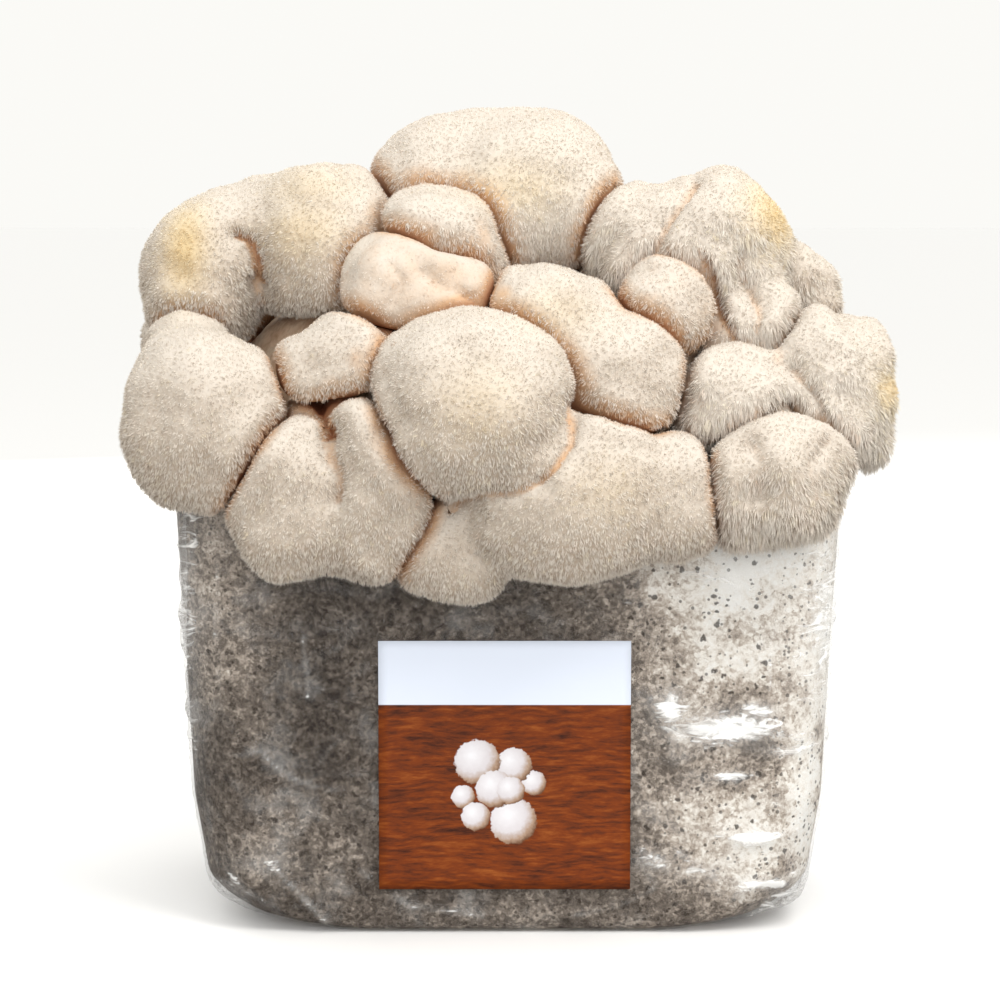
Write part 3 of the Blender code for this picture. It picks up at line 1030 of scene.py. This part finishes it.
def crumple(points, seed):
    """Fine sharp crumples, longer across the bag than up it."""
    squeezed = points * np.array((0.6, 0.6, 1.0))

    def ridges(size, shift):
        waves = [abs(noise.noise(Vector(p) / size + shift)) for p in squeezed]
        return np.maximum(1 - 2.2 * np.array(waves), 0) ** 4

    broad = noise_at(squeezed, 22 * MM, seed)
    coarse = ridges(13 * MM, Vector((0, seed, 0)))
    fine = ridges(6 * MM, Vector((0, 0, seed)))
    return (0.35 * broad + 0.5 * coarse + 0.22 * fine) * MM


def wrinkled(flat, normals):
    """The wall's points with its wrinkles, and how far each was lifted."""
    x, y, z = flat.T / MM
    middle = (LABEL_LOW + LABEL_HIGH) / 2 / MM
    behind_label = smoothstep(*FLAT_TO, np.abs(x - middle[0]))
    behind_label *= smoothstep(*FLAT_TO, np.abs(z - middle[2]))
    behind_label *= smoothstep(*FRONT_AND_BACK, -y)
    lift = np.maximum(crumple(flat, 4.2) + creased(flat), -DEEPEST)
    above_floor = smoothstep(0, 6, z)
    lift *= (1 - behind_label) * above_floor
    return flat + lift[:, None] * normals, lift


def make_film(mat):
    """A thin wrinkled wall with a floor, open at its cut rim."""
    targets = ring_targets()
    columns = len(targets)
    low = np.array(LOW_ROWS) * MM
    heights = np.concatenate((low, np.arange(4 * MM, BAG_HIGH[2] - DEEPEST, ROW_STEP)))
    rows = wall_rows(heights, targets, solid_tree("grow_bag"))
    wall, lift = wrinkled(rows.reshape(-1, 3), row_normals(rows).reshape(-1, 3))
    wavy_cut = 0.55 + 0.4 * noise_at(wall * np.array((1, 1, 0)), 24 * MM, 6)
    highest = BLOCK_TOP + wavy_cut * (wall[:, 2] - BLOCK_TOP) + 1 * MM
    wall[:, 2] = np.minimum(wall[:, 2], highest)
    floor = rings_inwards(wall[:columns], FLOOR_RINGS, FLOOR_HEIGHT)
    points = np.concatenate((floor, wall))
    quads = grid_quads(len(FLOOR_RINGS) + len(heights), columns)
    lift = np.concatenate((np.zeros(len(floor)), lift))
    # White along the ridges: stress whitening with painted glints.
    ridge_white_and_glint = RIDGE_WHITE_AND_GLINT * smoothstep(*RIDGES, lift)
    edge = CUT_HAZE * (np.arange(len(points)) >= len(points) - columns)
    # Real haze with painted glare and glints, as white in the film.
    haze = np.max((patches(points, HAZE_AND_GLARE), ridge_white_and_glint, edge), axis=0)
    new_piece("film", points, quads, mat, "film", "grow_bag", haze=haze)
    return rows


def make_block(wall, mat):
    """The block inside the film."""
    inside = wall[::2, ::2] - BLOCK_GAP * row_normals(wall[::2, ::2])
    inside = inside[inside[:, 0, 2] < BLOCK_TOP]
    columns = inside.shape[1]
    floor = rings_inwards(inside[0], BLOCK_FLOOR_RINGS, BLOCK_BOTTOM)
    crown = [
        rings_inwards(inside[-1], (share,), BLOCK_TOP - drop * MM) for share, drop in BLOCK_CROWN
    ]
    points = np.concatenate((floor, inside.reshape(-1, 3), *crown))
    points[:, 2] = np.clip(points[:, 2], BLOCK_BOTTOM, BLOCK_TOP)
    quads = grid_quads(len(points) // columns, columns)
    place = (mat, "substrate", "substrate_block")
    new_piece("mycelium-block", points, quads, *place, cover=patches(points, MYCELIUM_AND_LIGHT))


# The block's tones from bare wet sawdust to thick mycelium.
BLOCK_TONES = (
    (0.00, (0.014, 0.009, 0.006)),
    (0.20, (0.070, 0.055, 0.044)),
    (0.40, (0.176, 0.146, 0.121)),
    (0.60, (0.45, 0.385, 0.325)),
    (0.78, (0.77, 0.73, 0.67)),
    (1.00, (0.86, 0.85, 0.82)),
)
CHIP = 3.6 * MM
SPECK = 1.5 * MM


def block_material():
    """Brown sawdust, whiter the thicker the mycelium is, and whiter on the right of the front by
    painted light.
    """
    n = Nodes("mycelium block")
    at = n.place()
    wander = n.noise(at, 1.6 * MM, detail=2, rough=0.5, output="Color")
    bent = n.vector("MULTIPLY_ADD", wander, (2.4 * MM,) * 3, at)
    dust = n.noise(at, 2.6 * MM, detail=6, rough=0.8)
    areas = n.noise(at, 16 * MM, detail=4, rough=0.6)
    crumbs = n.times(n.cell_number(bent, 1.0 * MM), 0.20)
    clumps = n.times(n.cell_number(bent, 2.8 * MM), 0.10)
    mixed = n.plus(n.plus(crumbs, clumps), n.minus(dust, 0.45))
    mixed = n.plus(mixed, n.times(n.minus(areas, 0.5), 0.38))
    # Whiter with mycelium, and on the right of the front by painted light.
    cover = n.times(n.attribute("cover"), n.remap(areas, 0.35, 0.65, 0.53, 0.66))
    colour = n.ramp(n.plus(mixed, cover), *BLOCK_TONES)
    chip = n.remap(n.cell_number(bent, CHIP, 1), 0.30, 1.0, 0.0, 0.30, kind="LINEAR")
    inside_chip = n.remap(n.cells(bent, CHIP), chip, n.times(chip, 0.6))
    colour = n.mix(n.times(inside_chip, 0.85), colour, (0.026, 0.017, 0.012))
    speck = n.remap(n.cell_number(at, SPECK, 1), 0.40, 1.0, 0.0, 0.42, kind="LINEAR")
    inside_speck = n.math("LESS_THAN", n.cells(at, SPECK), speck)
    colour = n.mix(n.times(inside_speck, 0.72), colour, (0.030, 0.022, 0.016))
    return n.surface(colour, 0.85, 0.3, n.bump(mixed, 0.8 * MM, 0.35))


def film_material():
    """See-through, glossy, and cloudy where it's stretched or folded, with painted glare and glints
    as white in the film.
    """
    n = Nodes("clear film")
    at = n.place()
    cloud_and_glare = n.attribute("haze")
    wisps = n.noise(n.vector("MULTIPLY", at, (0.5, 0.5, 1.4)), 5 * MM, 6, 0.7, warp=1.2)
    torn = n.plus(cloud_and_glare, n.times(n.minus(wisps, 0.5), 2.0))
    cloud_and_glare = n.plus(n.times(cloud_and_glare, 0.30), n.remap(torn, 0.42, 0.80, 0.0, 0.75))
    thin = n.remap(n.noise(at, 15 * MM, 5, 0.65), 0.48, 0.72, 0.0, 0.13)
    haze = n.math("ADD", cloud_and_glare, thin, clamp=True)
    crinkle = n.bump(n.noise(at, 3.2 * MM, detail=2), 0.5 * MM, 0.35)
    # The haze's white, which also paints glare on the film.
    n.surface((0.93, 0.925, 0.91), 0.3, normal=crinkle)
    clear = n.add("ShaderNodeBsdfTransparent").outputs[0]
    gloss = n.add("ShaderNodeBsdfGlossy", Roughness=0.12, Normal=crinkle)
    fresnel = n.add("ShaderNodeFresnel", IOR=1.18, Normal=crinkle)
    white_haze_and_glare = n.tree.nodes["Principled BSDF"].outputs[0]
    body = n.mix_shaders(haze, clear, white_haze_and_glare)
    glint = n.math("MINIMUM", fresnel.outputs[0], 0.3)
    whole = n.mix_shaders(glint, body, gloss.outputs[0])
    n.link(whole, n.tree.nodes["Material Output"].inputs["Surface"])
    return n.made


# ---- label


LABEL_STEPS = 24
LABEL_THICKNESS = 0.15 * MM
# The pale band's lower edge, as shares of the label's height.
BAND_EDGE = (0.742, 0.746)
BAND_WHITE = (0.78, 0.84, 0.96)
WOOD_TONES = (
    (0.34, (0.035, 0.008, 0.003)),
    (0.44, (0.11, 0.024, 0.006)),
    (0.54, (0.185, 0.036, 0.005)),
    (0.68, (0.30, 0.08, 0.014)),
)
PUFF_TONES = (
    (0.0, (0.84, 0.83, 0.86)),
    (0.46, (0.66, 0.62, 0.64)),
    (0.66, (0.40, 0.27, 0.19)),
    (0.80, (0.13, 0.055, 0.025)),
)
# The printed puffs: middle across and up, and radius, as shares of the label's side.
PUFFS = (
    (-0.165, 0.375, 0.048), (-0.115, 0.295, 0.060), (0.115, 0.430, 0.052), (0.035, 0.500, 0.074),
    (0.035, 0.275, 0.096), (-0.108, 0.515, 0.094), (-0.040, 0.405, 0.078), (0.025, 0.400, 0.058),
)


def wood_colour(n, at):
    """Streaks of grain across the label."""
    stretch = n.vector("MULTIPLY", at, (0.16, 0.16, 1.0))
    warp = n.noise(n.vector("MULTIPLY", at, (0.5, 0.5, 1.0)), 14 * MM, detail=2)
    shift = n.add("ShaderNodeCombineXYZ", 0.0, 0.0, n.times(warp, 5 * MM)).outputs[0]
    bent = n.vector("ADD", stretch, shift)
    streak = n.noise(bent, 1.1 * MM, detail=4, rough=0.65)
    broad = n.noise(bent, 5 * MM, detail=2)
    return n.ramp(n.plus(n.times(streak, 0.65), n.times(broad, 0.35)), *WOOD_TONES)


def label_material():
    """A pale band over wood grain, with a group of white puffs."""
    n = Nodes("printed label")
    at = n.place()
    x, _, z = n.split(at)
    side = LABEL_HIGH[0] - LABEL_LOW[0]
    middle = (LABEL_LOW[0] + LABEL_HIGH[0]) / 2
    u = n.math("DIVIDE", n.minus(x, middle), side)
    v = n.math("DIVIDE", n.minus(z, LABEL_LOW[2]), side)
    colour = wood_colour(n, at)
    fuzz = n.times(n.minus(n.noise(at, 1.6 * MM, detail=3), 0.5), 0.35)
    for cu, cv, radius in PUFFS:
        inside = n.remap(disc(n, u, v, cu, cv, radius, fuzz), 1.0, 0.93)
        shade = disc(n, u, v, cu - 0.25 * radius, cv + 0.3 * radius, radius, fuzz)
        colour = n.mix(inside, colour, n.ramp(n.times(shade, 0.6), *PUFF_TONES))
    colour = n.mix(n.remap(v, *BAND_EDGE), colour, BAND_WHITE)
    return n.surface(colour, 0.5, 0.12)


def disc(n, u, v, cu, cv, radius, fuzz):
    """The distance from the middle of a disc in radii, with a rough edge."""
    across = n.minus(u, cu)
    up = n.minus(v, cv)
    squares = n.plus(n.times(across, across), n.times(up, up))
    return n.plus(n.math("DIVIDE", n.math("SQRT", squares), radius), fuzz)


def make_label(mat):
    """A thin sheet that bows slightly."""
    xs = np.linspace(LABEL_LOW[0], LABEL_HIGH[0], LABEL_STEPS + 1)
    zs = np.linspace(LABEL_LOW[2], LABEL_HIGH[2], LABEL_STEPS + 1)
    x, z = (grid.ravel() for grid in np.meshgrid(xs, zs))
    bow = 0.12 * MM * noise_at(np.stack((x, 0 * x, z), axis=1), 30 * MM, 0)
    y = LABEL_LOW[1] + LABEL_THICKNESS + bow
    quads = grid_quads(LABEL_STEPS + 1, LABEL_STEPS + 1, closed=False)
    points = np.stack((x, y, z), axis=1)
    piece = new_piece("label-sheet", points, quads, mat, "label", "front_label")
    solidify = piece.modifiers.new("thickness", "SOLIDIFY")
    solidify.thickness = LABEL_THICKNESS
    solidify.offset = -1


# ---- base


def make_base(mat):
    points, quads, edges = remeshed("cluster_base", 3.0 * MM)
    for _ in range(12):
        points += 0.5 * (neighbour_mean(points, edges) - points)
    normals = point_normals(points, quads)
    swell = 1.2 * noise_at(points, 14 * MM, 3) + 0.5 * noise_at(points, 5 * MM, 8)
    points += (swell * MM)[:, None] * normals
    new_piece("base-flesh", points, quads, mat, "base_flesh", "cluster_base")


# ---- stage


# Lights: a place and a size in metres, a power in watts, and a colour.
LIGHTS = {
    "key": ((0.45, -0.55, 1.0), 0.5, 7, (1.0, 0.98, 0.95)),
    "fill": ((0.1, -1.4, 0.25), 1.0, 11, (0.98, 0.99, 1.0)),
    "back": ((-0.5, 1.3, 0.6), 1.0, 10, (1.0, 0.99, 0.97)),
}
LIT_PLACE = Vector((0, 0, 0.13))
CAMERA_TILT = math.radians(6)


def make_floor():
    """A pale floor that throws no light back up."""
    bpy.ops.mesh.primitive_plane_add(size=60, location=(0, 0, 0))
    floor = bpy.context.object
    floor.name = "floor"
    floor.visible_diffuse = False
    floor.data.materials.append(Nodes("floor").surface((0.985, 0.985, 0.985), 0.9))


def make_sky():
    n = Nodes("world", "worlds")
    direction = n.add("ShaderNodeTexCoord").outputs["Generated"]
    height = n.remap(n.split(direction)[2], -1.0, 1.0, kind="LINEAR")
    sky = n.ramp(height, (0.480, (0.50, 0.48, 0.45)), (0.490, (0.965, 0.957, 0.925)))
    n.link(sky, n.tree.nodes["Background"].inputs["Color"])
    bpy.context.scene.world = n.made


def make_lights():
    for name, (place, size, power, colour) in LIGHTS.items():
        data = bpy.data.lights.new(name, "AREA")
        data.size = size
        data.energy = power
        data.color = colour
        light = bpy.data.objects.new(name, data)
        light.location = place
        aim = LIT_PLACE - light.location
        light.rotation_euler = aim.to_track_quat("-Z", "Y").to_euler()
        bpy.context.scene.collection.objects.link(light)


def make_camera():
    aim = Vector((-2.4 * MM, BAG_LOW[1], 133.2 * MM))
    data = bpy.data.cameras.new("camera")
    data.lens = 100
    data.sensor_width = 36
    camera = bpy.data.objects.new("camera", data)
    back = Vector((0, -math.cos(CAMERA_TILT), math.sin(CAMERA_TILT)))
    camera.location = aim + 832 * MM * back
    camera.rotation_euler = (math.pi / 2 - CAMERA_TILT, 0, 0)
    bpy.context.scene.collection.objects.link(camera)
    bpy.context.scene.camera = camera


def main():
    make_camera()
    make_floor()
    make_sky()
    make_lights()
    bpy.context.scene.view_settings.view_transform = "Standard"
    skins = grow_cluster()
    make_skins(skins, skin_material())
    spines = spine_material()
    for skin in skins:
        make_spines(skin, spines)
    make_base(flesh_material())
    wall = make_film(film_material())
    make_block(wall, block_material())
    make_label(label_material())


main()
